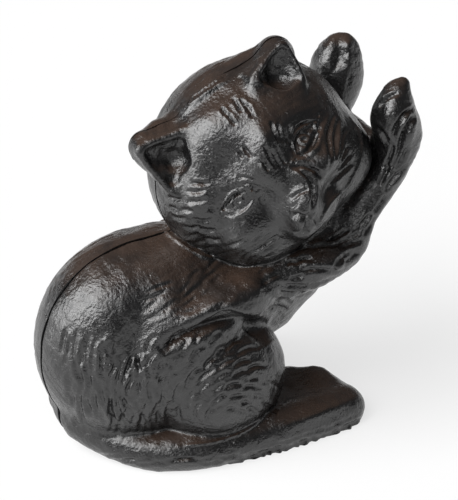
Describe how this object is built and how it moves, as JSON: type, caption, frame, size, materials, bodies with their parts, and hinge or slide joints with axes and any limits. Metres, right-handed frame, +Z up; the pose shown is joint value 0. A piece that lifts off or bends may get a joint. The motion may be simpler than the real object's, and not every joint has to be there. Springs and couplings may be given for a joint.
{
  "type": "doorstop",
  "caption": "Hollow cast iron doorstop shaped as a lying kitten that pushes at the door with raised front paws; split castings drawn together by screws.",
  "frame": {"origin": "on the surface that the doorstop stands on, under the middle of its bounding box; the castings part on the plane Y = 0", "axes": "+X from the rump towards the raised front paws, -Y out of the face, +Z up"},
  "size_m": [0.169, 0.0954, 0.1738],
  "materials": {
    "near_lacquered_iron": "black-brown satin lacquer over rough cast iron",
    "far_lacquered_iron": "black-brown satin lacquer over rough cast iron",
    "screw_steel": "darkened turned steel"
  },
  "bodies": {
    "root": {"near_half_casting": "near_lacquered_iron", "far_half_casting": "far_lacquered_iron", "body_screw": "screw_steel", "head_screw": "screw_steel"}
  },
  "joints": []
}
